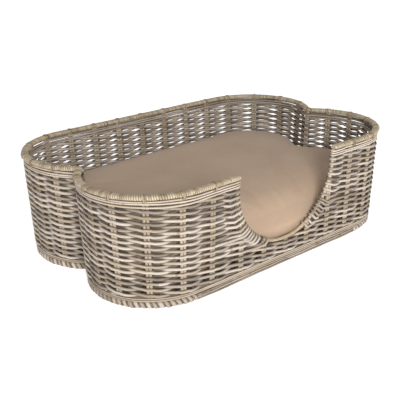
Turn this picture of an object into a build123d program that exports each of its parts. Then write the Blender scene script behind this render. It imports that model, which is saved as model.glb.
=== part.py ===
from build123d import *
import math
import os

# A bone-shaped wicker pet bed with a loose cushion.
# Millimetres, +Z up, origin on the ground at the middle of the plan, long side along X,
# entry in the front wall, which faces -Y.

# Driving dimensions
LENGTH = 900.0          # over the rim
WIDTH = 600.0           # over the rim
HEIGHT = 270.0          # ground to the top of the rim
LOBE_R = 175.0          # plan radius of each of the four lobes, at the rim
NOTCH_R = 8.0           # plan radius of the hollow between two lobes, at the rim
FLARE = 11.0            # how far the wall leans outward between ground and rim

# Wall: an outer and an inner layer of weavers with the stakes between them
WALL_IN = 2.0           # outer face of the wall, set in from the rim's edge
LAYER = 5.5             # thickness of one layer of weavers
STAKE_D = 7.0
PAIR_GAP = 0.5          # between the two rods of a stake pair
CHANNEL_GAP = 0.15      # radial room round a stake in the weave
WALL_T = 2 * LAYER + STAKE_D

# Rim: a rod core inside a wrapping of cane
RIM_W = 18.0
RIM_T = 11.5
RIM_ROUND = 4.5
CORE_SKIN = 2.5         # thickness of the cane round the core
RIM_Z = HEIGHT - RIM_T

# Base: a bent pole in its wrapping, with rods across it and a woven floor
BASE_IN = 13.0          # outer face of the base border, set in from the rim's edge
BASE_W = 18.0
BASE_H = 18.0
BASE_ROUND = 4.0
POLE_D = 11.0
CROSS_D = 8.0
CROSS_PITCH = 60.0
CROSS_PER_SIDE = 6      # cross rods each side of the middle one
LONG_D = 7.0
FLOOR_T = 5.0
FLOOR_GAP = 0.5         # between the floor panel and the base border

# Long rods laid outside the stakes, under the rim and above the base
ROD_D = 5.4
UPPER_RODS = 3
LOWER_RODS = 2

# Entry: a U-shaped hoop let into the front wall
HOOP_R = 162.0          # to the middle of the hoop rod
HOOP_D = 8.0
HOOP_Z = 228.0          # centre of the hoop's half circle
ROD_END_X = 171.0       # the upper long rods stop beside each leg of the hoop
SILL_TOP = 90.0         # where the weave under the entry is divided from the side panels

# Stakes: how many spaces between them along each stretch of the wall
SILL_PAIRS = 2          # under the entry, each side of its middle pair
SILL_BAY = 75.0
SILL_SHIFT = -6.0       # the middle pair stands this far to the right of the entry's middle
FRONT_SPACES = 7        # from the last of them to a notch
FRONT_DRIFT = 20.0      # stakes stand wider apart on the flat of the front ...
BACK_SPACES = 17        # from notch to notch round the back
BACK_DRIFT = -50.0      # ... and closer round the left-hand end of the back ...
BACK_CROWD = -7.0       # ... and round both of its lobes

# Nails
NAIL_R = 0.7
NAIL_HEAD_R = 1.8
NAIL_HEAD_T = 0.9
RIM_NAIL_LENGTH = 11.0
BASE_NAIL_LENGTH = 42.0
RIM_NAIL_SKIN = 0.05    # heads finish this far under the face

# Cushion: a filled pad in a fabric cover, closed by a zip low on its back side
CUSHION_IN = 30.5       # side of the cushion, set in from the rim's edge
CUSHION_LIFT = 0.3      # clearance over the floor panel
CUSHION_T = 150.0
TOP_ROUND = 55.0
FOOT_ROUND = 45.0
COVER_T = 1.5
PAD_GAP = 0.6
SEAM_Z = 40.0           # seam between the cover and its underside
ZIP_LENGTH = 400.0
ZIP_H = 12.0
SLIDER = (11.0, 8.0, 1.8)
CROWN = (6.0, 3.0, 1.4)
SLIDER_GAP = 0.4
SLIDER_X = 185.0        # where the slider stands when the zip is closed

# Places that follow from them
LOBE_X = LENGTH / 2 - LOBE_R
LOBE_Y = WIDTH / 2 - LOBE_R
NOTCH_X = LOBE_X + math.sqrt((LOBE_R + NOTCH_R) ** 2 - LOBE_Y**2)
JOIN = math.degrees(math.atan2(LOBE_Y, NOTCH_X - LOBE_X))   # where a lobe meets a notch
FLOOR_Z = BASE_H - 2.0                                      # underside of the floor panel
FAR = LENGTH                                                # bigger than anything here
LEAN = math.degrees(math.atan2(FLARE, HEIGHT))


def wall_inset(z, depth=0.0):
    """Distance in from the rim's edge of the plane `depth` inside the wall's outer face."""
    return WALL_IN + depth + FLARE * (1 - z / HEIGHT)


def outline(inset, z=0.0, gap=0.0):
    """The plan outline, set in from the rim's edge, as a wire at height z.

    With a gap it is open across the middle of the front, from x = -gap round to x = gap.
    """
    lobe, notch, side = LOBE_R - inset, NOTCH_R + inset, WIDTH / 2 - inset
    edges = [
        CenterArc((-LOBE_X, -LOBE_Y), lobe, 270, -90 - JOIN),
        CenterArc((-NOTCH_X, 0), notch, -JOIN, 2 * JOIN),
        CenterArc((-LOBE_X, LOBE_Y), lobe, 180 + JOIN, -90 - JOIN),
        Line((-LOBE_X, side), (LOBE_X, side)),
        CenterArc((LOBE_X, LOBE_Y), lobe, 90, -90 - JOIN),
        CenterArc((NOTCH_X, 0), notch, 180 - JOIN, 2 * JOIN),
        CenterArc((LOBE_X, -LOBE_Y), lobe, JOIN, -90 - JOIN),
    ]
    if gap:
        edges.insert(0, Line((-gap, -side), (-LOBE_X, -side)))
        edges.append(Line((LOBE_X, -side), (gap, -side)))
    else:
        edges.append(Line((LOBE_X, -side), (-LOBE_X, -side)))
    return Pos(0, 0, z) * Wire(edges)


def prism(inset, z0, z1):
    """An upright solid over the outline."""
    return extrude(make_face(outline(inset, z0)), z1 - z0)


def ring(inset, width, z0, z1):
    """An upright band of the given width inside the outline."""
    return prism(inset, z0, z1) - prism(inset + width, z0, z1)


def flared(depth, z0, z1):
    """A solid whose side is the leaning surface `depth` inside the wall's outer face."""
    return extrude(make_face(outline(wall_inset(z0, depth), z0)), z1 - z0, taper=-LEAN)


def block(x0, x1, y0, y1, z0=-FAR, z1=FAR):
    """A plain box between the given limits."""
    size = Box(x1 - x0, y1 - y0, z1 - z0)
    return Pos((x0 + x1) / 2, (y0 + y1) / 2, (z0 + z1) / 2) * size


def rod_along(path, diameter):
    """A round rod along a wire."""
    return sweep(Plane(path @ 0, z_dir=path % 0) * Circle(diameter / 2), path=path)


def straight_rod(start, end, diameter):
    """A round rod between two points."""
    run = Vector(*end) - Vector(*start)
    rod = Cylinder(diameter / 2, run.length, align=(Align.CENTER, Align.CENTER, Align.MIN))
    return Plane(origin=start, z_dir=run) * rod


def wall_length():
    """Lengths of the stretches of the middle surface at half height: front, lobe, notch, back."""
    inset = wall_inset(HEIGHT / 2, WALL_T / 2)
    lobe = (LOBE_R - inset) * math.radians(90 + JOIN)
    notch = (NOTCH_R + inset) * math.radians(2 * JOIN)
    return LOBE_X, lobe, notch, 2 * LOBE_X


def wall_point(s, z, depth):
    """The point s along the wall from the middle of the front, going round by the left."""
    front, lobe, notch, back = wall_length()
    total = 2 * (front + notch + back / 2) + 4 * lobe
    s = s % total
    if s > total / 2:
        x, y, z = wall_point(total - s, z, depth)
        return -x, y, z
    inset = wall_inset(z, depth)
    if s <= front:
        return -s, -(WIDTH / 2 - inset), z
    s -= front
    if s <= lobe:
        angle, centre, radius = 270 - (90 + JOIN) * s / lobe, (-LOBE_X, -LOBE_Y), LOBE_R - inset
    elif s <= lobe + notch:
        angle = -JOIN + 2 * JOIN * (s - lobe) / notch
        centre, radius = (-NOTCH_X, 0), NOTCH_R + inset
    elif s <= 2 * lobe + notch:
        turn = (90 + JOIN) * (s - lobe - notch) / lobe
        angle, centre, radius = 180 + JOIN - turn, (-LOBE_X, LOBE_Y), LOBE_R - inset
    else:
        return -LOBE_X + s - 2 * lobe - notch, WIDTH / 2 - inset, z
    angle = math.radians(angle)
    return centre[0] + radius * math.cos(angle), centre[1] + radius * math.sin(angle), z


def stake_places():
    """Where the stake pairs stand along the wall: one list for each stretch."""
    front, lobe, notch, back = wall_length()
    to_notch = front + lobe + notch / 2
    start = SILL_PAIRS * SILL_BAY
    step = (to_notch - start) / FRONT_SPACES
    side = []
    for k in range(1, FRONT_SPACES):
        side.append(start + k * step + FRONT_DRIFT * math.sin(math.pi * k / FRONT_SPACES))
    round_back = 2 * lobe + notch + back
    behind = []
    for k in range(1, BACK_SPACES):
        turn = math.pi * k / BACK_SPACES
        drift = BACK_DRIFT * math.sin(turn) + BACK_CROWD * math.sin(2 * turn)
        behind.append(to_notch + k * round_back / BACK_SPACES + drift)
    under = [SILL_SHIFT + k * SILL_BAY for k in range(-SILL_PAIRS, SILL_PAIRS + 1)]
    return {
        "front_left": side,
        "front_right": [-s for s in side],
        "notch": [to_notch, -to_notch],
        "back_left": [s for s in behind if s < to_notch + notch / 2 + lobe],
        "back": [s for s in behind if abs(s - to_notch - round_back / 2) <= back / 2],
        "back_right": [s for s in behind if s > to_notch + notch / 2 + lobe + back],
        "sill": under,
    }


def hoop_plane():
    """The plane of the middle of the front wall, at the hoop's centre."""
    y = -(WIDTH / 2 - wall_inset(HOOP_Z, WALL_T / 2))
    return Plane(origin=(0, y, HOOP_Z), x_dir=(1, 0, 0), z_dir=(0, -HEIGHT, -FLARE))


def hoop_cut(radius):
    """The U-shaped space inside the given radius, right through the front wall."""
    shape = Circle(radius) + Pos(0, HEIGHT / 2) * Rectangle(2 * radius, HEIGHT)
    return hoop_plane() * extrude(shape, 2 * WALL_T, both=True)


def upright(s, diameter):
    """A rod in the middle of the wall, leaning with it, from ground level to the top."""
    return straight_rod(wall_point(s, 0, WALL_T / 2), wall_point(s, HEIGHT, WALL_T / 2), diameter)


def stake_pair(s, diameter):
    """The two rods of a stake pair."""
    apart = (STAKE_D + PAIR_GAP) / 2
    return [upright(s - apart, diameter), upright(s + apart, diameter)]


def stakes():
    """All the uprights, grouped by stretch; those under the entry stop at the hoop."""
    height = block(-FAR, FAR, -FAR, FAR, BASE_H, RIM_Z)
    groups = {}
    for name, places in stake_places().items():
        rods = [rod & height for s in places for rod in stake_pair(s, STAKE_D)]
        if name == "sill":
            hollow = hoop_cut(HOOP_R + HOOP_D / 2)
            rods = [rod - hollow for rod in rods]
        groups["stakes_" + name] = rods
    return groups


def channels():
    """Room for the stakes in the weave."""
    wide = STAKE_D + 2 * CHANNEL_GAP
    places = [s for group in stake_places().values() for s in group]
    return [rod for s in places for rod in stake_pair(s, wide)]


def side_weave():
    """The woven wall, as closed panels with the true faces of the weave."""
    band_top = BASE_H + LOWER_RODS * ROD_D
    band_foot = RIM_Z - UPPER_RODS * ROD_D
    wall = flared(0, BASE_H, RIM_Z) - flared(WALL_T, BASE_H, RIM_Z)
    wall -= flared(-1, BASE_H, band_top) - flared(LAYER, BASE_H, band_top)
    wall -= flared(-1, band_foot, RIM_Z) - flared(LAYER, band_foot, RIM_Z)
    wall -= hoop_cut(HOOP_R + HOOP_D / 2)
    cuts = {
        "back": block(-LOBE_X, LOBE_X, 0, FAR),
        "lobe_back_left": block(-FAR, -LOBE_X, 0, FAR),
        "lobe_back_right": block(LOBE_X, FAR, 0, FAR),
        "lobe_front_left": block(-FAR, -LOBE_X, -FAR, 0),
        "lobe_front_right": block(LOBE_X, FAR, -FAR, 0),
        "front_left": block(-LOBE_X, 0, -FAR, 0, SILL_TOP, FAR),
        "front_right": block(0, LOBE_X, -FAR, 0, SILL_TOP, FAR),
        "sill": block(-LOBE_X, LOBE_X, -FAR, 0, -FAR, SILL_TOP),
    }
    rods = channels()
    panels = {}
    for name, region in cuts.items():
        panel = wall & region
        near = panel.bounding_box()
        touching = [rod for rod in rods if near.overlaps(rod.bounding_box())]
        panels["side_weave_" + name] = panel - touching
    return panels


def long_rods():
    """The smooth rods laid one above another outside the stakes."""
    rods = {}
    for k in range(UPPER_RODS):
        z = RIM_Z - (k + 0.5) * ROD_D
        path = outline(wall_inset(z, LAYER / 2), z, gap=ROD_END_X)
        rods[f"upper_rod_{k + 1}"] = rod_along(path, ROD_D)
    for k in range(LOWER_RODS):
        z = BASE_H + (k + 0.5) * ROD_D
        rods[f"lower_rod_{k + 1}"] = rod_along(outline(wall_inset(z, LAYER / 2), z), ROD_D)
    return rods


def base_border():
    """The bent pole round the bottom, with wrapping on the lobes and cane facing between."""
    border = ring(BASE_IN, BASE_W, 0, BASE_H)
    border = fillet(border.edges().group_by(Axis.Z)[0], BASE_ROUND)
    pole = rod_along(outline(BASE_IN + BASE_W / 2, BASE_H / 2), POLE_D)
    border -= pole
    nails = base_nails()
    parts = {
        "base_pole": pole - nails,
        "base_binding_left": border & block(-FAR, -LOBE_X, -FAR, FAR),
        "base_binding_right": border & block(LOBE_X, FAR, -FAR, FAR),
        "base_cane_front": border & block(-LOBE_X, LOBE_X, -FAR, 0),
        "base_cane_back": border & block(-LOBE_X, LOBE_X, 0, FAR),
    }
    for name in ("base_binding_left", "base_binding_right", "base_cane_front", "base_cane_back"):
        parts[name] = parts[name] - nails
    parts["base_nails"] = nails
    return parts


def base_rods():
    """Rods across and along the base, butted against the border."""
    inside = prism(BASE_IN + BASE_W, 0, BASE_H)
    z_cross = FLOOR_Z - CROSS_D / 2
    z_long = FLOOR_Z - CROSS_D - LONG_D / 2
    reach = WIDTH / 2 - BASE_IN - BASE_W
    nails = base_nails()
    across = []
    for k in range(-CROSS_PER_SIDE, CROSS_PER_SIDE + 1):
        x = k * CROSS_PITCH
        rod = straight_rod((x, -reach, z_cross), (x, reach, z_cross), CROSS_D)
        across.append((rod & inside) - nails)
    along = []
    for y in (-LOBE_Y, 0, LOBE_Y):
        reach = LENGTH / 2 if y else NOTCH_X - NOTCH_R
        reach -= BASE_IN + BASE_W
        along.append(straight_rod((-reach, y, z_long), (reach, y, z_long), LONG_D) & inside)
    return {"base_cross_rods": across, "base_long_rods": along}


def nail(point, direction, length):
    """A round-headed nail driven from a point in a direction, its head flush."""
    shank = Cylinder(NAIL_R, length, align=(Align.CENTER, Align.CENTER, Align.MIN))
    head = Cylinder(NAIL_HEAD_R, NAIL_HEAD_T, align=(Align.CENTER, Align.CENTER, Align.MIN))
    return Plane(origin=point, z_dir=direction) * (shank + head)


def base_nails():
    """Nails through the border into the ends of the cross rods on the straight sides."""
    z = FLOOR_Z - CROSS_D / 2
    y = WIDTH / 2 - BASE_IN
    count = int(LOBE_X // CROSS_PITCH)
    nails = []
    for k in range(-count, count + 1):
        x = k * CROSS_PITCH
        nails.append(nail((x, -y, z), (0, 1, 0), BASE_NAIL_LENGTH))
        nails.append(nail((x, y, z), (0, -1, 0), BASE_NAIL_LENGTH))
    return nails


def rim_nails():
    """One nail into the side of the rim over each stake pair."""
    z = RIM_Z + RIM_T / 2
    nails = []
    for name, places in stake_places().items():
        if name in ("notch", "sill"):
            continue
        for s in places:
            outer, inner = Vector(*wall_point(s, z, 0)), Vector(*wall_point(s, z, WALL_T))
            inward = (inner - outer).normalized()
            start = outer - inward * (wall_inset(z) - RIM_NAIL_SKIN)
            nails.append(nail(start, inward, RIM_NAIL_LENGTH))
    return nails


def rim():
    """The rim in three lengths, which meet in the notches: core rods and their cane binding."""
    nails = rim_nails()
    binding = ring(0, RIM_W, RIM_Z, HEIGHT)
    binding = fillet(binding.edges(), RIM_ROUND)
    core = ring(CORE_SKIN, RIM_W - 2 * CORE_SKIN, RIM_Z + CORE_SKIN, HEIGHT - CORE_SKIN)
    core = fillet(core.edges(), RIM_ROUND - CORE_SKIN)
    binding -= core
    horn = HOOP_R - HOOP_D / 2
    lengths = {
        "front_left": block(-FAR, -horn, -FAR, 0),
        "back": block(-FAR, FAR, 0, FAR),
        "front_right": block(horn, FAR, -FAR, 0),
    }
    parts = {"rim_nails": nails}
    for name, region in lengths.items():
        parts["rim_core_" + name] = (core & region) - nails
        parts["rim_binding_" + name] = (binding & region) - nails
    return parts


def entry_hoop():
    """The bent rod that edges the entry."""
    top = HEIGHT - HOOP_Z
    path = Wire(
        [
            Line((-HOOP_R, top), (-HOOP_R, 0)),
            CenterArc((0, 0), HOOP_R, 180, 180),
            Line((HOOP_R, 0), (HOOP_R, top)),
        ]
    )
    hoop = rod_along(hoop_plane() * path, HOOP_D)
    return hoop & block(-FAR, FAR, -FAR, 0, 0, RIM_Z)


def pillow(shrink):
    """The cushion's outer shape, shrunk evenly."""
    z0 = FLOOR_Z + FLOOR_T + CUSHION_LIFT
    body = prism(CUSHION_IN + shrink, z0 + shrink, z0 + CUSHION_T - shrink)
    body = fillet(body.edges().group_by(Axis.Z)[-1], TOP_ROUND - shrink)
    return fillet(body.edges().group_by(Axis.Z)[0], FOOT_ROUND - shrink)


def zip_frame():
    """A plane on the cover's surface at the zip: x along the zip, z straight out of the fabric."""
    z_centre = FLOOR_Z + FLOOR_T + CUSHION_LIFT + FOOT_ROUND
    y_centre = WIDTH / 2 - CUSHION_IN - FOOT_ROUND
    down = math.asin((z_centre - SEAM_Z) / FOOT_ROUND)
    out = (0, math.cos(down), -math.sin(down))
    point = (0, y_centre + FOOT_ROUND * out[1], z_centre + FOOT_ROUND * out[2])
    return Plane(origin=point, x_dir=(1, 0, 0), z_dir=out)


def cushion():
    """Cover, underside, pad, zip tape and slider."""
    shell = pillow(0) - pillow(COVER_T)
    zip_box = zip_frame() * Box(ZIP_LENGTH, ZIP_H, 6 * COVER_T)
    tape = shell & zip_box
    shell -= zip_box
    plate = Box(*SLIDER, align=(Align.CENTER, Align.CENTER, Align.MIN))
    plate = fillet(plate.edges().filter_by(Axis.Z), SLIDER[1] / 4)
    crown = Pos(0, 0, SLIDER[2]) * Box(*CROWN, align=(Align.CENTER, Align.CENTER, Align.MIN))
    slider = zip_frame() * Pos(SLIDER_X, 0, SLIDER_GAP) * (plate + crown)
    return {
        "cushion_cover": shell & block(-FAR, FAR, -FAR, FAR, SEAM_Z, FAR),
        "cushion_underside": shell & block(-FAR, FAR, -FAR, FAR, -FAR, SEAM_Z),
        "cushion_pad": pillow(COVER_T + PAD_GAP),
        "zip_tape": tape,
        "zip_slider": slider,
    }


def write(name, solids):
    """One STEP file for a node, which may hold a group of separate solids."""
    shape = Compound(children=list(solids)) if isinstance(solids, (list, tuple)) else solids
    export_step(shape, f"parts/{name}.step")
    print(name)


def main():
    os.makedirs("parts", exist_ok=True)
    nodes = {}
    nodes.update(base_border())
    nodes.update(base_rods())
    nodes["floor_weave"] = prism(BASE_IN + BASE_W + FLOOR_GAP, FLOOR_Z, FLOOR_Z + FLOOR_T)
    nodes.update(long_rods())
    nodes.update(side_weave())
    nodes.update(stakes())
    nodes["entry_hoop"] = entry_hoop()
    nodes.update(rim())
    nodes.update(cushion())
    for name, solids in nodes.items():
        write(name, solids)


main()
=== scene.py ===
import math

import bpy
import numpy as np
from mathutils import Matrix, Vector


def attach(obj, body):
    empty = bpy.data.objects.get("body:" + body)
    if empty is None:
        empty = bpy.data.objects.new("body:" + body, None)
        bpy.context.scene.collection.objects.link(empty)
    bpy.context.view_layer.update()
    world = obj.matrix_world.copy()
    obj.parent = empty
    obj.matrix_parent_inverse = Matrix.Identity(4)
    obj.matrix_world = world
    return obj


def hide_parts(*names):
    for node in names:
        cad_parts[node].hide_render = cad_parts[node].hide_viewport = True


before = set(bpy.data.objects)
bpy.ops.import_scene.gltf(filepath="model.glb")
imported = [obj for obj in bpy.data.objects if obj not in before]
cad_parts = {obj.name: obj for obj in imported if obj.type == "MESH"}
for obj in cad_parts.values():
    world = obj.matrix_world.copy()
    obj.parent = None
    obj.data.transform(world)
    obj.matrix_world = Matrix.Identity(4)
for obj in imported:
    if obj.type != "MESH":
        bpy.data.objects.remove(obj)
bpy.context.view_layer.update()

MM = 0.001
RNG = np.random.default_rng(47)

# ---------------------------------------------------------------- dimensions, mm, as in the CAD
LENGTH, WIDTH, HEIGHT = 900.0, 600.0, 270.0
LOBE_R, NOTCH_R, FLARE = 175.0, 8.0, 11.0
WALL_IN, WALL_T = 2.0, 18.0
RIM_W, RIM_T = 18.0, 11.5
BASE_IN, BASE_W, BASE_H = 13.0, 18.0, 18.0
FLOOR_Z, FLOOR_T = 16.0, 5.0
HOOP_R, HOOP_D, HOOP_Z = 162.0, 8.0, 228.0
SILL_PAIRS, SILL_BAY, SILL_SHIFT = 2, 75.0, -6.0
FRONT_SPACES, FRONT_DRIFT = 7, 20.0
BACK_SPACES, BACK_DRIFT, BACK_CROWD = 17, -50.0, -7.0
CUSHION_IN, CUSHION_Z, CUSHION_T = 30.5, 21.3, 150.0
TOP_ROUND, FOOT_ROUND = 40.0, 45.0     # the filled cushion is squarer on top than the plain solid

LOBE_X = LENGTH / 2 - LOBE_R
LOBE_Y = WIDTH / 2 - LOBE_R
NOTCH_X = LOBE_X + math.sqrt((LOBE_R + NOTCH_R) ** 2 - LOBE_Y**2)
JOIN = math.degrees(math.atan2(LOBE_Y, NOTCH_X - LOBE_X))

# ---------------------------------------------------------------- weave
ROWS = 15
ROW_FOOT, ROW_TOP = 25.6, 239.2
FOLD_Z = 128            # above it one weaver, folded round the hoop, makes both strands of a row
PITCH = (ROW_TOP - ROW_FOOT) / ROWS
STRAND = 6.6            # thickness of one weaver
MID = WALL_T / 2        # depth of the stakes' centres
SWING = 6.8             # how far a weaver's centre swings out and in from there
STACK = 3.45            # how far it rides up or down half way between two stakes
TWIST = -1.0            # -1: seen from outside, the weavers cross downward to the right
CLOSING = 0.5           # how soon after a stake the two weavers of a row close up
STEP = 3.2              # between the points of a strand


def wall_inset(z, depth=0.0):
    return WALL_IN + depth + FLARE * (1 - z / HEIGHT)


MIDDLE = wall_inset(HEIGHT / 2, WALL_T / 2)
FRONT = BACK_HALF = LOBE_X              # half of each straight side
LOBE = (LOBE_R - MIDDLE) * math.radians(90 + JOIN)
NOTCH = (NOTCH_R + MIDDLE) * math.radians(2 * JOIN)
TO_NOTCH = FRONT + LOBE + NOTCH / 2
TOTAL = 2 * (FRONT + NOTCH + BACK_HALF) + 4 * LOBE


def plan(s, inset):
    """Plan points set in from the rim's edge; s runs from the middle of the front by the left."""
    s, inset = np.broadcast_arrays(np.asarray(s, float) % TOTAL, np.asarray(inset, float))
    mirrored = s > TOTAL / 2
    t = np.where(mirrored, TOTAL - s, s)
    lobe, notch, side = LOBE_R - inset, NOTCH_R + inset, WIDTH / 2 - inset
    ends = np.cumsum([FRONT, LOBE, NOTCH, LOBE])
    turn = 90 + JOIN
    where = [t <= ends[0], t <= ends[1], t <= ends[2], t <= ends[3]]
    angle = np.radians(np.select(where, [
        0 * t,
        270 - turn * (t - ends[0]) / LOBE,
        -JOIN + 2 * JOIN * (t - ends[1]) / NOTCH,
        180 + JOIN - turn * (t - ends[2]) / LOBE,
    ], 0.0))
    cx = np.select(where, [0 * t, -LOBE_X + 0 * t, -NOTCH_X + 0 * t, -LOBE_X + 0 * t], 0.0)
    cy = np.select(where, [0 * t, -LOBE_Y + 0 * t, 0 * t, LOBE_Y + 0 * t], 0.0)
    r = np.select(where, [0 * t, lobe, notch, lobe], 0.0)
    x, y = cx + r * np.cos(angle), cy + r * np.sin(angle)
    x = np.where(where[0], -t, np.where(t > ends[3], t - ends[3] - LOBE_X, x))
    y = np.where(where[0], -side, np.where(t > ends[3], side, y))
    return np.stack([np.where(mirrored, -x, x), y], -1)


def wall(s, z, depth):
    """Points on the wall, depth in from its outer face."""
    s, z, depth = np.broadcast_arrays(*(np.asarray(v, float) for v in (s, z, depth)))
    return np.concatenate([plan(s, wall_inset(z, depth)), z[..., None]], -1)


def outward(s):
    """Unit vectors out of the wall in plan."""
    flat = plan(s, 0.0) - plan(s, 1.0)
    return np.concatenate([flat, np.zeros(flat.shape[:-1] + (1,))], -1)


def wobble(x, seed, size, octaves=2):
    """Smooth, repeatable wandering with values of about -1 to 1."""
    x = np.asarray(x, float) / size + 17.31 * seed
    out = np.zeros_like(x)
    for k in range(octaves):
        f = 1.0 + 1.37 * k
        out += (np.sin(f * x * 2.11 + seed) + np.sin(f * x * 1.27 + 2.3 * seed + k)) / (2 * (k + 1))
    return out / 1.2


def stake_places():
    """Where the stake pairs stand along the wall, in order."""
    start = SILL_PAIRS * SILL_BAY
    step = (TO_NOTCH - start) / FRONT_SPACES
    side = [start + k * step + FRONT_DRIFT * math.sin(math.pi * k / FRONT_SPACES)
            for k in range(1, FRONT_SPACES)]
    round_back = 2 * LOBE + NOTCH + 2 * BACK_HALF
    back = []
    for k in range(1, BACK_SPACES):
        turn = math.pi * k / BACK_SPACES
        drift = BACK_DRIFT * math.sin(turn) + BACK_CROWD * math.sin(2 * turn)
        back.append(TO_NOTCH + k * round_back / BACK_SPACES + drift)
    under = [SILL_SHIFT + k * SILL_BAY for k in range(-SILL_PAIRS, SILL_PAIRS + 1)]
    rest = side + [TO_NOTCH] + back + [TOTAL - TO_NOTCH] + [TOTAL - s for s in side]
    return sorted([s % TOTAL for s in under] + rest)


PAIRS = stake_places()


# ---------------------------------------------------------------- meshes
def end_fan(sides):
    """Quads that close the end of a tube with this many sides."""
    return np.array([(0, k, k + 1, k + 2) for k in range(1, sides - 2, 2)])


class Strands:
    """Collects round or flat strands into one mesh with its own grain coordinates."""

    def __init__(self):
        self.verts, self.quads, self.fibre, self.tint, self.shade, self.count = [], [], [], [], [], 0

    def add(self, path, wide, thick, out, tint, sides=8, closed=False, depth=None, gaps=None):
        """path in mm; `thick` is measured along `out`, `wide` across it.

        `depth` is how deep in the wall the strand lies and sets its painted shade; `gaps` paints shade on
        the flanks of a wrapping.
        """
        path = np.asarray(path, float)
        n = len(path)
        wide = np.broadcast_to(np.asarray(wide, float), (n,)).copy()
        thick = np.broadcast_to(np.asarray(thick, float), (n,)).copy()
        out = np.broadcast_to(np.asarray(out, float), (n, 3)).copy()
        tint = np.broadcast_to(np.asarray(tint, float), (n,)).copy()
        depth = None if depth is None else np.asarray(depth, float)
        if closed:
            tangent = np.roll(path, -1, 0) - np.roll(path, 1, 0)
        else:
            lead = path[0] - path[1]
            tail = path[-1] - path[-2]
            lead = lead / max(np.linalg.norm(lead), 1e-9) * thick[0] * 0.22
            tail = tail / max(np.linalg.norm(tail), 1e-9) * thick[-1] * 0.22
            path = np.vstack([path[0] + lead, path, path[-1] + tail])
            wide = np.concatenate([[wide[0] * 0.62], wide, [wide[-1] * 0.62]])
            thick = np.concatenate([[thick[0] * 0.62], thick, [thick[-1] * 0.62]])
            out = np.vstack([out[0], out, out[-1]])
            tint = np.concatenate([[tint[0]], tint, [tint[-1]]])
            if depth is not None:
                depth = np.concatenate([[depth[0]], depth, [depth[-1]]])
            n += 2
            tangent = np.gradient(path, axis=0)
        tangent /= np.maximum(np.linalg.norm(tangent, axis=1, keepdims=True), 1e-9)
        up = out - (out * tangent).sum(1, keepdims=True) * tangent
        up /= np.maximum(np.linalg.norm(up, axis=1, keepdims=True), 1e-9)
        across = np.cross(tangent, up)
        a = np.arange(sides) * 2 * math.pi / sides + math.pi / sides
        c, d = np.cos(a), np.sin(a)
        ring = (path[:, None, :]
                + up[:, None, :] * (thick[:, None] / 2 * c)[..., None]
                + across[:, None, :] * (wide[:, None] / 2 * d)[..., None])
        base = self.count
        index = base + np.arange(n * sides).reshape(n, sides)
        near, far = index, np.roll(index, -1, 0)
        if not closed:
            near, far = index[:-1], index[1:]
        quads = np.stack([near, np.roll(near, -1, 1), np.roll(far, -1, 1), far], -1).reshape(-1, 4)
        self.quads.append(quads)
        if not closed:
            fan = end_fan(sides)
            self.quads.append(index[0][fan][:, ::-1])
            self.quads.append(index[-1][fan])
        length = np.concatenate([[0], np.cumsum(np.linalg.norm(np.diff(path, axis=0), axis=1))])
        start = RNG.uniform(0, 90)
        girth = (wide[:, None] + thick[:, None]) / 4
        self.fibre.append(np.stack([
            np.repeat(length[:, None] * MM + start, sides, 1),
            girth * MM * np.cos(a)[None, :] + start * 0.37,
            girth * MM * np.sin(a)[None, :] - start * 0.21], -1).reshape(-1, 3))
        self.tint.append(np.repeat(tint[:, None], sides, 1).reshape(-1))
        shade = np.ones((n, sides))
        if depth is not None:            # painted shade between stacked strands, on faces turned into the wall, and over strands in the wall's inner half
            lie = np.clip((depth[:, None] - MID) / SWING, -1, 1)
            shade = shade - 0.55 * (np.abs(c[None, :]) > 0.6)
            shade = shade - 0.85 * np.clip(-d[None, :] * lie, 0, 1)
            shade = np.clip(shade, 0, 1) * (1 - 0.42 * np.clip(lie, 0, 1))
        # painted shade on the flanks of a wrapping
        if gaps is not None:
            shade = shade - gaps * (np.abs(d[None, :]) > 0.7)
        self.shade.append(shade.reshape(-1))
        self.verts.append(ring.reshape(-1, 3) * MM)
        self.count += n * sides

    def build(self, name, material, body="basket", replaces=()):
        verts = np.vstack(self.verts)
        verts[:, 2] = np.maximum(verts[:, 2], 0.0)           # the base rests flat on the ground
        return make_piece(name, verts, np.vstack(self.quads), np.vstack(self.fibre),
                          np.concatenate(self.tint), np.concatenate(self.shade),
                          material, body, replaces)


def make_piece(name, verts, quads, fibre, tint, shade, material, body, replaces=()):
    mesh = bpy.data.meshes.new(name)
    mesh.from_pydata(np.asarray(verts), [], np.asarray(quads))
    mesh.attributes.new("fibre", "FLOAT_VECTOR", "POINT").data.foreach_set(
        "vector", np.asarray(fibre, np.float32).ravel())
    mesh.attributes.new("tint", "FLOAT", "POINT").data.foreach_set(
        "value", np.asarray(tint, np.float32))
    # per-point painted shade: 1 where lit, lower values darken the colour
    mesh.attributes.new("painted_shade", "FLOAT", "POINT").data.foreach_set(
        "value", np.asarray(shade, np.float32))
    mesh.shade_smooth()
    mesh.materials.append(material)
    ob = bpy.data.objects.new(name, mesh)
    bpy.context.scene.collection.objects.link(ob)
    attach(ob, body)
    if replaces:
        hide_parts(*replaces)
    return ob


# ---------------------------------------------------------------- materials
def srgb(r, g, b):
    def one(v):
        v /= 255
        return v / 12.92 if v <= 0.04045 else ((v + 0.055) / 1.055) ** 2.4
    return (one(r), one(g), one(b), 1.0)


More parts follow.
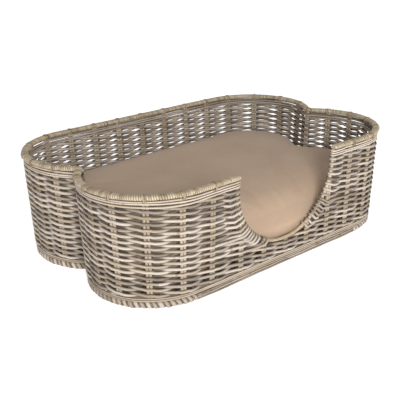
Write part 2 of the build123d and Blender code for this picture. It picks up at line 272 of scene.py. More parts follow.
class Nodes:
    """A short way to write a node tree."""

    def __init__(self, name):
        self.material = bpy.data.materials.new(name)
        self.material.use_nodes = True
        self.tree = self.material.node_tree
        self.tree.nodes.clear()
        self.out = self.add("ShaderNodeOutputMaterial")
        self.shader = self.add("ShaderNodeBsdfPrincipled")
        self.link(self.shader.outputs[0], self.out.inputs[0])

    def add(self, kind, **settings):
        node = self.tree.nodes.new(kind)
        for key, value in settings.items():
            setattr(node, key, value)
        return node

    def link(self, a, b):
        self.tree.links.new(a, b)

    def attribute(self, name):
        return self.add("ShaderNodeAttribute", attribute_name=name)

    def mapped(self, source, scale):
        node = self.add("ShaderNodeMapping")
        node.inputs["Scale"].default_value = scale
        self.link(source, node.inputs["Vector"])
        return node.outputs[0]

    def noise(self, vector, scale, detail=3.0, rough=0.55):
        node = self.add("ShaderNodeTexNoise")
        node.inputs["Scale"].default_value = scale
        node.inputs["Detail"].default_value = detail
        node.inputs["Roughness"].default_value = rough
        self.link(vector, node.inputs["Vector"])
        return node.outputs[0]

    def ramp(self, fac, stops):
        node = self.add("ShaderNodeValToRGB")
        elements = node.color_ramp.elements
        while len(elements) < len(stops):
            elements.new(0.5)
        for element, (place, colour) in zip(elements, stops):
            element.position, element.color = place, colour
        self.link(fac, node.inputs[0])
        return node.outputs[0]

    def span(self, value, a, b, c, d):
        node = self.add("ShaderNodeMapRange")
        for k, v in zip(("From Min", "From Max", "To Min", "To Max"), (a, b, c, d)):
            node.inputs[k].default_value = v
        self.link(value, node.inputs["Value"])
        return node.outputs[0]

    def math(self, operation, a, b):
        node = self.add("ShaderNodeMath", operation=operation)
        for k, v in enumerate((a, b)):
            if isinstance(v, (int, float)):
                node.inputs[k].default_value = v
            else:
                self.link(v, node.inputs[k])
        return node.outputs[0]

    def mix(self, fac, a, b, blend="MIX"):
        node = self.add("ShaderNodeMix", data_type="RGBA", blend_type=blend)
        for socket, v in zip((node.inputs[0], node.inputs[6], node.inputs[7]), (fac, a, b)):
            if isinstance(v, (int, float, tuple)):
                socket.default_value = v
            else:
                self.link(v, socket)
        return node.outputs[2]

    def darken(self, fac, colour, by):
        """The colour, multiplied by `by` as far as fac says."""
        return self.mix(fac, colour, self.mix(1.0, colour, (*by, 1.0), "MULTIPLY"))

    def bump(self, height, strength, distance):
        node = self.add("ShaderNodeBump")
        node.inputs["Strength"].default_value = strength
        node.inputs["Distance"].default_value = distance
        self.link(height, node.inputs["Height"])
        self.link(node.outputs[0], self.shader.inputs["Normal"])

    def put(self, **values):
        for key, value in values.items():
            socket = self.shader.inputs[key.replace("_", " ")]
            if isinstance(value, (int, float, tuple)):
                socket.default_value = value
            else:
                self.link(value, socket)


def cane_material(name, *tones, strands=True):
    """Rattan: long grain, cloudy ageing, dark node marks, its own tone for each strand, and painted shade on
    strands.

    The tones are dark, middle, pale and warm. Plain CAD rods have no strand coordinates.
    """
    dark, middle, pale, warm = (srgb(*tone) for tone in tones)
    n = Nodes(name)
    if strands:
        grain = n.attribute("fibre").outputs["Vector"]
        tint = n.attribute("tint").outputs["Fac"]
    else:
        grain = n.add("ShaderNodeTexCoord").outputs["Object"]
        tint = n.noise(n.mapped(grain, (9, 9, 2)), 1.0, 1.0)
        tint = n.span(tint, 0.3, 0.7, 0.0, 1.0)
    streak = n.noise(n.mapped(grain, (28, 1500, 1500) if strands else (900, 900, 22)), 1.0, 3.0)
    cloud = n.noise(n.mapped(grain, (22, 90, 90) if strands else (60, 60, 16)), 1.0, 3.0)
    tone = n.math("ADD", n.math("MULTIPLY", tint, 0.55), n.math("MULTIPLY", cloud, 0.45))
    colour = n.ramp(tone, [(0.12, dark), (0.38, middle), (0.62, pale)])
    hue = n.noise(n.mapped(grain, (6, 30, 30) if strands else (7, 7, 7)), 1.0, 2.0)
    colour = n.mix(n.span(hue, 0.48, 0.66, 0.0, 0.6), colour, warm)
    colour = n.darken(n.span(streak, 0.35, 0.7, 0.0, 0.55), colour, (0.66, 0.61, 0.56))
    if strands:
        marks = n.noise(n.mapped(grain, (70, 2, 2)), 1.0, 0.0)
        colour = n.darken(n.span(marks, 0.74, 0.8, 0.0, 0.55), colour, (0.45, 0.38, 0.32))
        # painted shade: the colour is multiplied down toward (0.20, 0.17, 0.14) as the per-point shade
        # attribute falls below 1
        painted_shade = n.attribute("painted_shade").outputs["Fac"]
        colour = n.mix(painted_shade, n.mix(1.0, colour, (0.20, 0.17, 0.14, 1), "MULTIPLY"), colour)
    n.put(Base_Color=colour, Roughness=n.span(streak, 0.3, 0.7, 0.52, 0.76), Specular_IOR_Level=0.35)
    n.bump(n.math("ADD", n.math("MULTIPLY", streak, 0.6), cloud), 0.55, 0.0006)
    return n.material


def cotton_material(name):
    n = Nodes(name)
    place = n.add("ShaderNodeTexCoord").outputs["Object"]
    blotch = n.noise(place, 7.0, 3.0)
    slub = n.noise(n.mapped(place, (60, 500, 300)), 1.0, 3.0)
    slub2 = n.noise(n.mapped(place, (500, 60, 300)), 1.0, 3.0)
    weave = n.math("ADD", slub, slub2)
    colour = n.ramp(blotch, [(0.3, srgb(184, 158, 134)), (0.7, srgb(193, 168, 144))])
    colour = n.darken(n.span(weave, 0.8, 1.2, 0.0, 0.35), colour, (0.86, 0.84, 0.82))
    n.put(Base_Color=colour, Roughness=n.span(weave, 0.7, 1.3, 0.82, 0.95), Sheen_Weight=0.15,
          Sheen_Roughness=0.5, Specular_IOR_Level=0.2)
    n.bump(weave, 0.35, 0.0004)
    return n.material


def metal_material(name, colour, rough):
    n = Nodes(name)
    place = n.add("ShaderNodeTexCoord").outputs["Object"]
    grime = n.noise(place, 900.0, 3.0)
    n.put(Base_Color=n.darken(n.span(grime, 0.35, 0.7, 0.0, 0.5), colour, (0.6, 0.56, 0.5)),
          Metallic=1.0, Roughness=n.span(grime, 0.3, 0.7, rough - 0.08, rough + 0.14))
    n.bump(grime, 0.2, 0.0002)
    return n.material


def tape_material(name):
    n = Nodes(name)
    place = n.add("ShaderNodeTexCoord").outputs["Object"]
    twill = n.noise(n.mapped(place, (1400, 500, 500)), 1.0, 2.0)
    n.put(Base_Color=n.ramp(twill, [(0.3, srgb(150, 128, 106)), (0.7, srgb(182, 158, 134))]),
          Roughness=n.span(twill, 0.3, 0.7, 0.7, 0.9))
    n.bump(twill, 0.4, 0.0003)
    return n.material


def filling_material(name):
    n = Nodes(name)
    place = n.add("ShaderNodeTexCoord").outputs["Object"]
    fluff = n.noise(place, 220.0, 5.0)
    n.put(Base_Color=n.ramp(fluff, [(0.3, srgb(214, 212, 206)), (0.7, srgb(240, 238, 233))]), Roughness=0.95)
    n.bump(fluff, 0.6, 0.002)
    return n.material


WEAVER = cane_material("weaver", (106, 96, 87), (168, 156, 144), (209, 198, 186), (180, 162, 136))
ROD = cane_material("long_rod", (146, 134, 120), (196, 183, 168), (224, 212, 198), (198, 178, 150))
TAN = cane_material("tan_cane", (122, 108, 88), (166, 149, 125), (194, 177, 152), (170, 148, 118))
RIM = cane_material("rim_cane", (134, 118, 95), (188, 171, 144), (216, 201, 176), (186, 163, 128))
STAKE = cane_material("stake_cane", (144, 127, 104), (186, 169, 143), (210, 194, 169), (182, 158, 124),
                      strands=False)
NAIL = metal_material("nail_steel", srgb(120, 112, 102), 0.42)
ZIPPER = metal_material("zip_metal", srgb(190, 186, 178), 0.3)
TAPE = tape_material("zip_tape")
COTTON = cotton_material("cotton")
FILLING = filling_material("filling")


# ---------------------------------------------------------------- weave rows
WIND = HOOP_D / 2 + STRAND / 2          # radius at which a weaver goes round the hoop
PAIR_HALF = 8.5                         # half the width a weaver needs to pass a stake pair


def hoop_place(z):
    """Where a weaver at height z leaves its level, and where it meets the hoop."""
    if z >= HOOP_Z:
        return HOOP_R + 18.0, HOOP_R, z, (1.0, 0.0)
    reach = HOOP_R + 7.0 + 11.0 * min(max((z - 66.0) / 60.0, 0.0), 1.0)
    fall = HOOP_Z - z
    level = math.sqrt(max(reach**2 - fall**2, 0.0))
    size = math.hypot(level, fall)
    way = (level / size, -fall / size)
    return level, HOOP_R * way[0], HOOP_Z + HOOP_R * way[1], way


def resample(points, step):
    """Even steps along a Catmull-Rom curve through the points."""
    p = np.asarray(points, float)
    q = np.vstack([2 * p[0] - p[1], p, 2 * p[-1] - p[-2]])
    out = []
    for k in range(1, len(q) - 2):
        a, b, c, d = q[k - 1], q[k], q[k + 1], q[k + 2]
        t = np.linspace(0, 1, 9)[:-1, None]
        out.append(0.5 * (2 * b + (c - a) * t + (2 * a - 5 * b + 4 * c - d) * t**2
                          + (3 * b - a - 3 * c + d) * t**3))
    out = np.vstack(out + [p[-1:]])
    run = np.concatenate([[0], np.cumsum(np.linalg.norm(np.diff(out, axis=0), axis=1))])
    grid = np.linspace(0, run[-1], max(3, int(run[-1] / step) + 1))
    return np.stack([np.interp(grid, run, out[:, k]) for k in range(3)], -1)


def hoop_turn(z, side, tail):
    """(s, height, depth) from outside the wall round the hoop to a tail left inside the wall.

    side is +1 for the left jamb and -1 for the right.
    """
    level, px, pz, way = hoop_place(z)
    span = math.hypot(level - px, z - pz)
    points = [(level + 14.0, z, MID - SWING), (level + 3.0, z - 0.4, MID - SWING),
              (px + 0.6 * span * way[0], pz + 0.6 * span * way[1], MID - SWING - 0.4)]
    for a in np.radians([-90, -60, -30, 0, 30, 60, 90]):
        off = WIND * math.cos(a) - 2.0
        points.append((px - off * way[0], pz - off * way[1], MID + WIND * math.sin(a)))
    for run, lie in ((0.55 * span, 0.2), (0.55 * span + tail, 0.6)):
        points.append((px + run * way[0], pz + run * way[1], MID + WIND - lie))
    points = np.array(points)
    points[:, 0] *= side
    return resample(points, 2.2)


def hoop_start(z, side):
    """(s, height, depth) from just inside the hoop out along the inside of the wall."""
    level, px, pz, way = hoop_place(z)
    span = math.hypot(level - px, z - pz)
    points = np.array([(px + run * way[0], pz + run * way[1], MID + SWING) for run in (5.0, 0.6 * span)]
                      + [(level + 3.0, z, MID + SWING), (level + 14.0, z, MID + SWING)])
    points[:, 0] *= side
    return resample(points[::-1], 2.2)


def row_path(z_row, strand, ring, seed):
    """(s, height, depth) of one weaver of a row; ring rows run right round under the entry."""
    up = 1.0 if strand else -1.0
    folded = z_row > FOLD_Z
    if ring:
        start = PAIRS.index(max(s for s in PAIRS if s < TOTAL / 2)) + seed % 3
        order = PAIRS[start:] + [s + TOTAL for s in PAIRS[: start + 1]]
        first, last = order[0], order[-1]
    elif folded:
        first = hoop_place(z_row)[0]
        last = TOTAL - first
        order = [first] + [s for s in PAIRS if first + 15.0 < s < last - 15.0] + [last]
    else:
        first = hoop_place(z_row + up * STACK)[0]
        last = TOTAL - first
        clear = max(hoop_place(z_row - STACK)[0], hoop_place(z_row + STACK)[0]) + 15.0
        order = [s for s in PAIRS if clear < s < TOTAL - clear]
    side = np.where((np.arange(len(order)) + strand) % 2 == 0, 1.0, -1.0)   # +1 outside, -1 inside
    s = np.linspace(first, last, int((last - first) / STEP) + 1)
    order = np.array(order)
    half = np.full(len(order), PAIR_HALF)
    if folded:
        half[0] = half[-1] = 0.0
    k = np.clip(np.searchsorted(order, s, side="right") - 1, -1, len(order) - 1)
    swing, rise = np.zeros_like(s), np.zeros_like(s)
    for i in range(-1, len(order)):
        here = k == i
        if not here.any():
            continue
        if i == -1:                      # from the hoop to the first stake pair
            u = np.clip((s[here] - first) / (order[0] - PAIR_HALF - first), 0, 1)
            swing[here] = 1 + (side[0] - 1) * u * u * (3 - 2 * u)
            rise[here] = up * STACK * (1 - np.clip((u - 0.35) / 0.65, 0, 1) ** 1.5)
        elif i == len(order) - 1:        # from the last pair to the hoop
            if ring or folded:
                swing[here] = side[-1]
                continue
            u = np.clip((s[here] - order[-1] - PAIR_HALF) / (last - order[-1] - PAIR_HALF), 0, 1)
            swing[here] = side[-1] + (1 - side[-1]) * u * u * (3 - 2 * u)
            rise[here] = up * STACK * np.clip(u / 0.65, 0, 1) ** 0.8
        else:
            a, b = order[i] + half[i], order[i + 1] - half[i + 1]
            u = np.clip((s[here] - a) / (b - a), 0, 1)
            by_hoop = folded and i in (0, len(order) - 2)
            size = STACK * (0.6 if by_hoop else 1.0)
            swing[here] = side[i] * np.cos(math.pi * u)
            rise[here] = side[i] * TWIST * -size * np.sin(math.pi * u) ** (1.1 if by_hoop else CLOSING)
    room = np.clip((z_row - 18) / 40, 0, 1) * np.clip((262 - z_row) / 40, 0.25, 1)
    drift = 1.7 * wobble(s + 1.2 * z_row, 3, 170) + 0.8 * wobble(s, 5 + z_row % 7, 90)
    z = z_row + rise + drift * room + 1.0 * swing
    if ring:                             # packed down under the hoop
        near = np.minimum(s % TOTAL, TOTAL - s % TOTAL)
        sag = 6.0 * np.clip((z_row - 26) / 36, 0, 1) * np.exp(-((near / 66) ** 2))
        z = z - sag - 0.1 * rise * (near < 66)
    depth = MID - SWING * swing + 0.35 * wobble(s, 11 + seed, 50)
    body = np.stack([s, z, depth], -1)
    if ring:
        return body
    ends = []
    for at, way in ((0, 1), (-1, -1)):
        if folded and side[at] < 0:
            ends.append(hoop_start(body[at, 1], way))
        else:
            ends.append(hoop_turn(body[at, 1] + 0.5 * RNG.uniform(-1, 1), way, RNG.uniform(5, 16)))
    ends[0] = ends[0][::-1]
    ends[1][:, 0] += TOTAL
    body = body[(s > first + 18) & (s < last - 18)]
    return smooth_joins(bridge(np.vstack([ends[0], body, ends[1]])))


def bridge(path):
    """Fills the small gaps between joined runs."""
    out = [path[:1]]
    for a, b in zip(path[:-1], path[1:]):
        count = int(np.linalg.norm(b - a) / (1.2 * STEP))
        if count > 1:
            out.append(a + (b - a) * (np.arange(1, count) / count)[:, None])
        out.append(b[None])
    return np.vstack(out)


def smooth_joins(path, count=34, passes=4):
    """Relaxes the stretch of each end that holds the turn round the hoop."""
    path = path.copy()
    for _ in range(passes):
        inner = 0.25 * path[:-2] + 0.5 * path[1:-1] + 0.25 * path[2:]
        path[1:count] = inner[: count - 1]
        path[-count:-1] = inner[-(count - 1):]
    return path


def tints(count, step, seed):
    """A tone for each point of a strand, changing where one weaver ends and the next begins."""
    rng = np.random.default_rng(seed)
    out = np.zeros(count)
    at = 0
    while at < count:
        run = int(rng.uniform(260, 900) / step)
        out[at: at + run] = rng.beta(2.0, 2.0)
        at += run
    return out


UP = (0.0, 0.0, 1.0)


def weave():
    for k in range(ROWS):
        z_row = ROW_FOOT + (k + 0.5) * PITCH
        ring = z_row < HOOP_Z - HOOP_R
        strands = Strands()
        for strand in (0, 1):
            flat = row_path(z_row, strand, ring, k)
            n = len(flat)
            fat = STRAND * (1 + 0.07 * RNG.uniform(-1, 1))
            fat = fat * (1 + 0.06 * wobble(np.arange(n) * STEP, k + 0.5 * strand, 90))
            from_notch = np.minimum(flat[:, 0], TOTAL - flat[:, 0]) - TO_NOTCH
            tall = 1.1 + 0.15 * np.clip(from_notch / 60, 0, 1)       # packed closer round the back
            # each strand's depth in the wall also sets its painted shade
            strands.add(wall(*flat.T), 0.94 * fat, tall * fat, UP,
                        tints(n, STEP, 100 + 2 * k + strand), depth=flat[:, 2])
        stood = ("side_weave_back", "side_weave_lobe_back_left", "side_weave_lobe_back_right",
                 "side_weave_lobe_front_left", "side_weave_lobe_front_right")
        stood += ("side_weave_sill",) if ring else ("side_weave_front_left", "side_weave_front_right")
        strands.build(f"weave_row_{k + 1:02d}", WEAVER, replaces=stood)


# ---------------------------------------------------------------- long rods
UPPER_RODS = [(254.5, 4.6), (248.6, 4.2), (243.0, 4.7)]      # (height, thickness), outside the stakes
INNER_UPPER_RODS = [254.0, 248.2, 242.6]                     # heights of those inside the stakes
LOWER_RODS = [(20.8, 4.9), (24.9, 3.6)]
INNER_LOWER_RODS = [20.9, 25.0]
ROD_JOIN = 1500         # where along the wall a rod that runs right round is joined, at the back


def long_rods():
    for k, (z0, thick) in enumerate(UPPER_RODS):
        strands = Strands()
        left = hoop_turn(z0, 1, 8.0 + 5 * k)
        right = hoop_turn(z0, -1, 8.0 + 5 * k)
        right[:, 0] += TOTAL
        s = np.arange(HOOP_R + 42, TOTAL - HOOP_R - 42, STEP)
        z = z0 + 1.7 * wobble(s, 21 + 3 * k, 170) + 0.5 * wobble(s, 31 + k, 60)
        body = np.stack([s, z, 2.7 - 0.3 * wobble(s, 41 + k, 60)], -1)
        flat = smooth_joins(bridge(np.vstack([left[::-1], body, right])))
        fat = thick * (1 + 0.06 * wobble(np.arange(len(flat)) * STEP, 51 + k, 110))
        # the rod's depth in the wall also sets its painted shade
        strands.add(wall(*flat.T), fat, fat, UP, tints(len(flat), STEP, 200 + k), depth=flat[:, 2])
        strands.build(f"upper_rod_{k + 1}_round", ROD, replaces=(f"upper_rod_{k + 1}",))
    strands = Strands()
    for k, z0 in enumerate(INNER_UPPER_RODS):
        s = np.arange(HOOP_R + 12, TOTAL - HOOP_R - 12, STEP)
        z = z0 + 1.3 * wobble(s, 61 + 4 * k, 130)
        path = wall(s, z, 15.6 + 0.4 * wobble(s, 71 + k, 45))
        # depth 14 is given for painted shade: darkened flanks, wall-facing face and the whole rod
        strands.add(path, 4.7, 4.7, UP, tints(len(s), STEP, 210 + k), depth=np.full(len(s), 14.0))
    strands.build("inner_rods_upper", WEAVER)
    for k, (z0, thick) in enumerate(LOWER_RODS):
        strands = Strands()
        s = np.arange(ROD_JOIN + 40 * k, ROD_JOIN + 40 * k + TOTAL, STEP)
        z = z0 + 0.9 * wobble(s, 81 + k, 95)
        # the depth given only paints shade on the rods' top and bottom flanks and the face turned into the
        # wall
        strands.add(wall(s, z, 2.7), thick, thick, UP, tints(len(s), STEP, 220 + k), closed=True,
                    depth=np.full(len(s), MID - SWING))
        strands.build(f"lower_rod_{k + 1}_round", TAN if k == 0 else WEAVER,
                      replaces=(f"lower_rod_{k + 1}",))
    strands = Strands()
    for k, z0 in enumerate(INNER_LOWER_RODS):
        s = np.arange(ROD_JOIN, ROD_JOIN + TOTAL, STEP)
        z = z0 + 0.4 * wobble(s, 91 + k, 120)
        strands.add(wall(s, z, 15.2), 4.4, 4.4, UP, tints(len(s), STEP, 230 + k), closed=True)
    strands.build("inner_rods_lower", TAN)


# ---------------------------------------------------------------- rim and border
def rounded_section(a, wide, tall, corner):
    """The point at angle a round a rounded rectangle."""
    c, d = np.cos(a), np.sin(a)
    p = 2 / corner
    return np.sign(c) * np.abs(c) ** p * wide / 2, np.sign(d) * np.abs(d) ** p * tall / 2


HORN = HOOP_R - HOOP_D / 2              # where the rim ends beside the entry
RIM_RUNS = {
    "front_left": (HORN, TO_NOTCH),
    "back": (TO_NOTCH, TOTAL - TO_NOTCH),
    "front_right": (TOTAL - TO_NOTCH, TOTAL - HORN),
}
WRAP = 4.8              # width of the cane wound round the rim
RIM_CANES = 9           # long canes round the rim where it isn't wound
RIM_TONES = 4000        # tones to draw from for the canes


def wrapped(s, seed):
    """How far the rim is wrapped rather than faced with long canes, from 0 to 1."""
    entry = np.minimum(s, TOTAL - s) - HOOP_R
    return 1 / (1 + np.exp(-9 * (wobble(s, seed, 95, 3) + 0.75 + 1.5 * np.exp(-((entry / 110) ** 2)))))


def rim():
    sides = 26
    a = np.arange(sides) * 2 * math.pi / sides
    for name, (s0, s1) in RIM_RUNS.items():
        s = np.arange(s0, s1, 0.8)
        wrap = wrapped(s, 7)[:, None]
        turn = s[:, None] / WRAP + 0.35 * wobble(s, 23, 40)[:, None] - a[None, :] / (2 * math.pi)
        groove = np.abs(((turn % 1.0) - 0.5) * 2) ** 2.6
        fall = 0.15 + 1.25 * groove * wrap
        canes = ((a[None, :] + 0.3 * wobble(s, 13, 120)[:, None]) / (2 * math.pi) * RIM_CANES) % 1.0
        between = np.abs((canes - 0.5) * 2) ** 3
        fall = fall + 0.7 * between * (1 - wrap)
        x, y = rounded_section(a, RIM_W, RIM_T, 2.7)
        wide = x[None, :] * (1 - fall / (RIM_W / 2))
        tall = y[None, :] * (1 - fall / (RIM_T / 2))
        centre_in = RIM_W / 2 + 0.35 * wobble(s, 17, 150)[:, None]
        flat = plan(np.repeat(s[:, None], sides, 1), centre_in - wide)
        z = HEIGHT - RIM_T / 2 - 0.4 + tall + 0.35 * wobble(s, 19, 110)[:, None]
        verts = np.concatenate([flat, z[..., None]], -1)
        shut = np.ones(len(s))           # the horns beside the entry are rounded off
        if name == "front_left":
            shut = np.clip((s - s0) / 6.0, 0, 1)
        if name == "front_right":
            shut = np.clip((s[-1] - s) / 6.0, 0, 1)
        shut = np.sqrt(np.clip(1 - (1 - shut[:, None, None]) ** 2, 0.05, 1))
        heart = verts.mean(1, keepdims=True)
        verts = heart + (verts - heart) * shut
        n = len(s)
        index = np.arange(n * sides).reshape(n, sides)
        near, far = index[:-1], index[1:]
        quads = np.stack([near, far, np.roll(far, -1, 1), np.roll(near, -1, 1)], -1).reshape(-1, 4)
        fan = end_fan(sides)
        quads = np.vstack([quads, index[0][fan], index[-1][fan][:, ::-1]])
        tone = np.random.default_rng(5).beta(1.6, 1.6, RIM_TONES)
        tint = np.where(wrap > 0.5, tone[np.floor(turn).astype(int) % RIM_TONES],
                        tone[np.floor((a[None, :] / (2 * math.pi)) * RIM_CANES).astype(int)])
        along = np.where(wrap > 0.5, a[None, :] * 7.0, s[:, None])
        over = np.where(wrap > 0.5, s[:, None], a[None, :] * 7.0)
        fibre = np.stack([along * MM + tint * 40, over * MM, tint * 3], -1)
        # painted shade in the grooves between the wound turns and between the long canes
        painted_shade = np.clip(1.0 - 0.95 * groove * wrap - 0.7 * between * (1 - wrap), 0.05, 1)
        make_piece(f"rim_wrap_{name}", verts.reshape(-1, 3) * MM, quads, fibre.reshape(-1, 3),
                   tint.reshape(-1), painted_shade.reshape(-1), RIM, "basket", (f"rim_binding_{name}",))


def lashings():
    """Narrow cane bound twice round the rim and the topmost rod over each stake pair."""
    strands = Strands()
    a = np.radians(np.arange(0, 360, 12))
    for s in PAIRS:
        if min(s, TOTAL - s) < HOOP_R:
            continue
        for step in (-2.2, 2.2):
            x, y = rounded_section(a, RIM_W + 1.2, RIM_T + 7.4, 2.4)
            lean = step * (1 + 0.5 * np.sin(a + s))
            flat = plan(s + lean, RIM_W / 2 - x)
            path = np.concatenate([flat, (HEIGHT - RIM_T / 2 - 3.3 + y)[:, None]], -1)
            heart = np.concatenate([plan(s, RIM_W / 2), [HEIGHT - RIM_T / 2 - 3.3]])
            # gaps=0.8 paints shade on the flanks of each lashing
            strands.add(path, 3.2, 1.5, path - heart, RNG.uniform(0, 0.35), closed=True, gaps=0.8)
    strands.build("rim_lashings", RIM)


def border():
    """Rope-laid wrapping on the lobes, long canes on the straights."""
    heart_in = BASE_IN + BASE_W / 2
    runs = {
        "left": (LOBE_X - 6, TOTAL / 2 - BACK_HALF + 6),
        "right": (TOTAL / 2 + BACK_HALF - 6, TOTAL - LOBE_X + 6),
    }
    for name, (s0, s1) in runs.items():
        strands = Strands()
        starts, lead = 2, 27.0
        for k in range(starts):
            s = np.arange(s0, s1, 1.2)
            a = 2 * math.pi * (s / lead + k / starts)
            reach = 11.8 + 1.7 * wobble(s, 37 + k, 14)
            x, y = rounded_section(a, reach, reach, 2.6)
            flat = plan(s, heart_in - x)
            path = np.concatenate([flat, (BASE_H / 2 + y)[:, None]], -1)
            heart = np.concatenate([plan(s, heart_in), np.full((len(s), 1), BASE_H / 2)], -1)
            fat = 11.2 * (1 + 0.2 * wobble(s, 33 + k, 11))
            # gaps=0.75 paints shade on the flanks between turns of the wrap
            strands.add(path, fat, 7.0, path - heart, tints(len(s), 7.0, 300 + k), gaps=0.75)
        strands.build(f"border_wrap_{name}", WEAVER, replaces=(f"base_binding_{name}",))
    for name, middle in (("front", 0.0), ("back", TOTAL / 2)):
        strands = Strands()
        s = np.arange(middle - LOBE_X - 4, middle + LOBE_X + 4, STEP)
        spots = [(2.9, 3.2), (2.9, 9.1), (2.9, 15.0), (9.0, 2.6),          # (depth, height) of each cane
                 (9.0, 15.6), (15.0, 3.2), (15.0, 9.1), (15.0, 14.8)]
        for k, (inset, z0) in enumerate(spots):
            z = z0 + 1.1 * wobble(s, 43 + k, 70)
            path = np.concatenate([plan(s, BASE_IN + inset + 0.6 * wobble(s, 63 + k, 50)), z[:, None]], -1)
            # the depth given only paints shade on each cane's top and bottom flanks and the face turned into
            # the wall
            strands.add(path, 5.2, 4.7 + 0.8 * wobble(s, 53 + k, 60), UP,
                        0.5 * tints(len(s), STEP, 320 + k), depth=np.full(len(s), MID - SWING))
        strands.build(f"border_canes_{name}", WEAVER, replaces=(f"base_cane_{name}",))


# ---------------------------------------------------------------- floor
def inside(x, y, inset):
    """True where a plan point is within the outline set in from the rim's edge."""
    x, y = np.abs(x), np.abs(y)
    lobe, notch, side = LOBE_R - inset, NOTCH_R + inset, WIDTH / 2 - inset
    in_lobe = (x - LOBE_X) ** 2 + (y - LOBE_Y) ** 2 <= lobe**2
    in_box = (x <= LOBE_X) & (y <= side)
    join = math.radians(JOIN)
    waist_x = LOBE_X + (LOBE_R - inset) * math.cos(join)
    in_waist = (x <= NOTCH_X) & (y <= LOBE_Y) & (x <= waist_x + notch)
    in_waist &= (x - NOTCH_X) ** 2 + y**2 >= notch**2
    return in_lobe | in_box | in_waist


def floor():
    pitch, inset = 12.0, 32.5
    for name, count, reach, axis in (("long", 47, 430.0, 0), ("cross", 71, 290.0, 1)):
        strands = Strands()
        for k in range(count):
            c = (k - (count - 1) / 2) * pitch
            t = np.arange(-reach, reach + 0.1, 3.0)
            x, y = (t, np.full_like(t, c)) if axis == 0 else (np.full_like(t, c), t)
            ok = inside(x, y, inset)
            edges = np.flatnonzero(np.diff(np.concatenate([[0], ok.astype(int), [0]])))
            for a, b in zip(edges[::2], edges[1::2]):
                if b - a < 5:
                    continue
                u = t[a:b]
                phase = np.cos(math.pi * (u / pitch + k + axis))
                z = FLOOR_Z + FLOOR_T / 2 + (0.95 * phase)
                path = np.stack([u, np.full_like(u, c), z] if axis == 0 else [np.full_like(u, c), u, z], -1)
                strands.add(path, 10.6, 1.7, UP, RNG.beta(2, 2), sides=6)
        strands.build(f"floor_strips_{name}", TAN, replaces=("floor_weave",))


# ---------------------------------------------------------------- cushion
def pillow_mesh(name, shrink, voxel):
    """The cushion's form, from stacked plan outlines, remeshed evenly."""
    s = np.arange(0, TOTAL, 6.0)
    z0, z1 = CUSHION_Z + shrink, CUSHION_Z + CUSHION_T - shrink
    foot, top = FOOT_ROUND - shrink, TOP_ROUND - shrink
    rows = []
    for a in np.radians(np.linspace(-90, 0, 9)):
        rows.append((foot * (1 - math.cos(a)), z0 + foot * (1 + math.sin(a))))
    for a in np.radians(np.linspace(0, 90, 10)):
        rows.append((top * (1 - math.cos(a)), z1 - top * (1 - math.sin(a))))
    verts = []
    for inward, z in rows:
        flat = plan(s, CUSHION_IN + shrink + inward)
        verts.append(np.concatenate([flat, np.full((len(s), 1), z)], -1))
    n = len(s)
    verts = np.vstack(verts) * MM
    faces = []
    for r in range(len(rows) - 1):
        for k in range(n):
            faces.append((r * n + k, r * n + (k + 1) % n, (r + 1) * n + (k + 1) % n, (r + 1) * n + k))
    faces.append(tuple(range(n))[::-1])
    faces.append(tuple((len(rows) - 1) * n + k for k in range(n)))
    mesh = bpy.data.meshes.new(name)
    mesh.from_pydata([tuple(v) for v in verts], [], faces)
    mesh.update()
    ob = bpy.data.objects.new(name, mesh)
    bpy.context.scene.collection.objects.link(ob)
    remesh = ob.modifiers.new("remesh", "REMESH")
    remesh.mode = "VOXEL"
    remesh.voxel_size = voxel
    apply_modifiers(ob)
    return ob


def apply_modifiers(ob):
    depsgraph = bpy.context.evaluated_depsgraph_get()
    mesh = bpy.data.meshes.new_from_object(ob.evaluated_get(depsgraph))
    old = ob.data
    ob.modifiers.clear()
    ob.data = mesh
    bpy.data.meshes.remove(old)


def coords(ob):
    co = np.empty(len(ob.data.vertices) * 3)
    ob.data.vertices.foreach_get("co", co)
    return co.reshape(-1, 3)


def set_coords(ob, co):
    ob.data.vertices.foreach_set("co", co.ravel())
    ob.data.update()


CREASES = [             # (from, to, half width, height) of the soft folds on top, mm
    ((60, -190), (250, 60), 13, -2.6), ((85, -205), (290, 30), 12, 1.8),
    ((-120, -40), (70, 90), 16, -1.8), ((-300, 60), (-60, 20), 18, 1.6),
    ((-40, -250), (-10, -120), 10, -1.6), ((30, -262), (60, -150), 9, 1.4),
    ((-250, -160), (-90, -60), 15, 1.8), ((150, 120), (330, 150), 14, -1.8),
    ((-20, -262), (-90, -170), 10, 1.5), ((110, -245), (150, -110), 11, -1.8),
    ((-360, 170), (-220, 60), 14, -1.6), ((200, -60), (360, -30), 13, 1.5),
]


def slump(co):
    """Lowers the cushion a little toward the entry, and lays soft folds across its top."""
    x, y, z = co[:, 0] / MM, co[:, 1] / MM, co[:, 2] / MM
    share = np.clip((z - 60) / 100, 0, 1)
    into = np.clip((-60 - y) / 235, 0, 1)                   # 0 well inside the bed, 1 at the entry
    drop = 88 * (1 - np.sqrt(1 - into**2)) * np.exp(-((x / 330) ** 4))
    rise = 2.6 * wobble(x + 0.6 * y, 2, 260) + 1.6 * wobble(y - 0.4 * x, 4, 170)
    for (x0, y0), (x1, y1), half, height in CREASES:
        dx, dy = x1 - x0, y1 - y0
        size = math.hypot(dx, dy)
        u = ((x - x0) * dx + (y - y0) * dy) / size**2
        off = ((x - x0) * dy - (y - y0) * dx) / size + 7 * np.sin(3 * u + x0)
        fade = np.exp(-((2 * u - 1) / 0.85) ** 4)
        rise = rise + height * np.exp(-((off / half) ** 2)) * fade
    co = co.copy()
    co[:, 2] += (np.clip(rise, -6, 5) - drop - 2.0) * share * MM
    return co


SIM_FRAMES = 20
SIM_REACH = 9.0         # the furthest the simulation may move a point


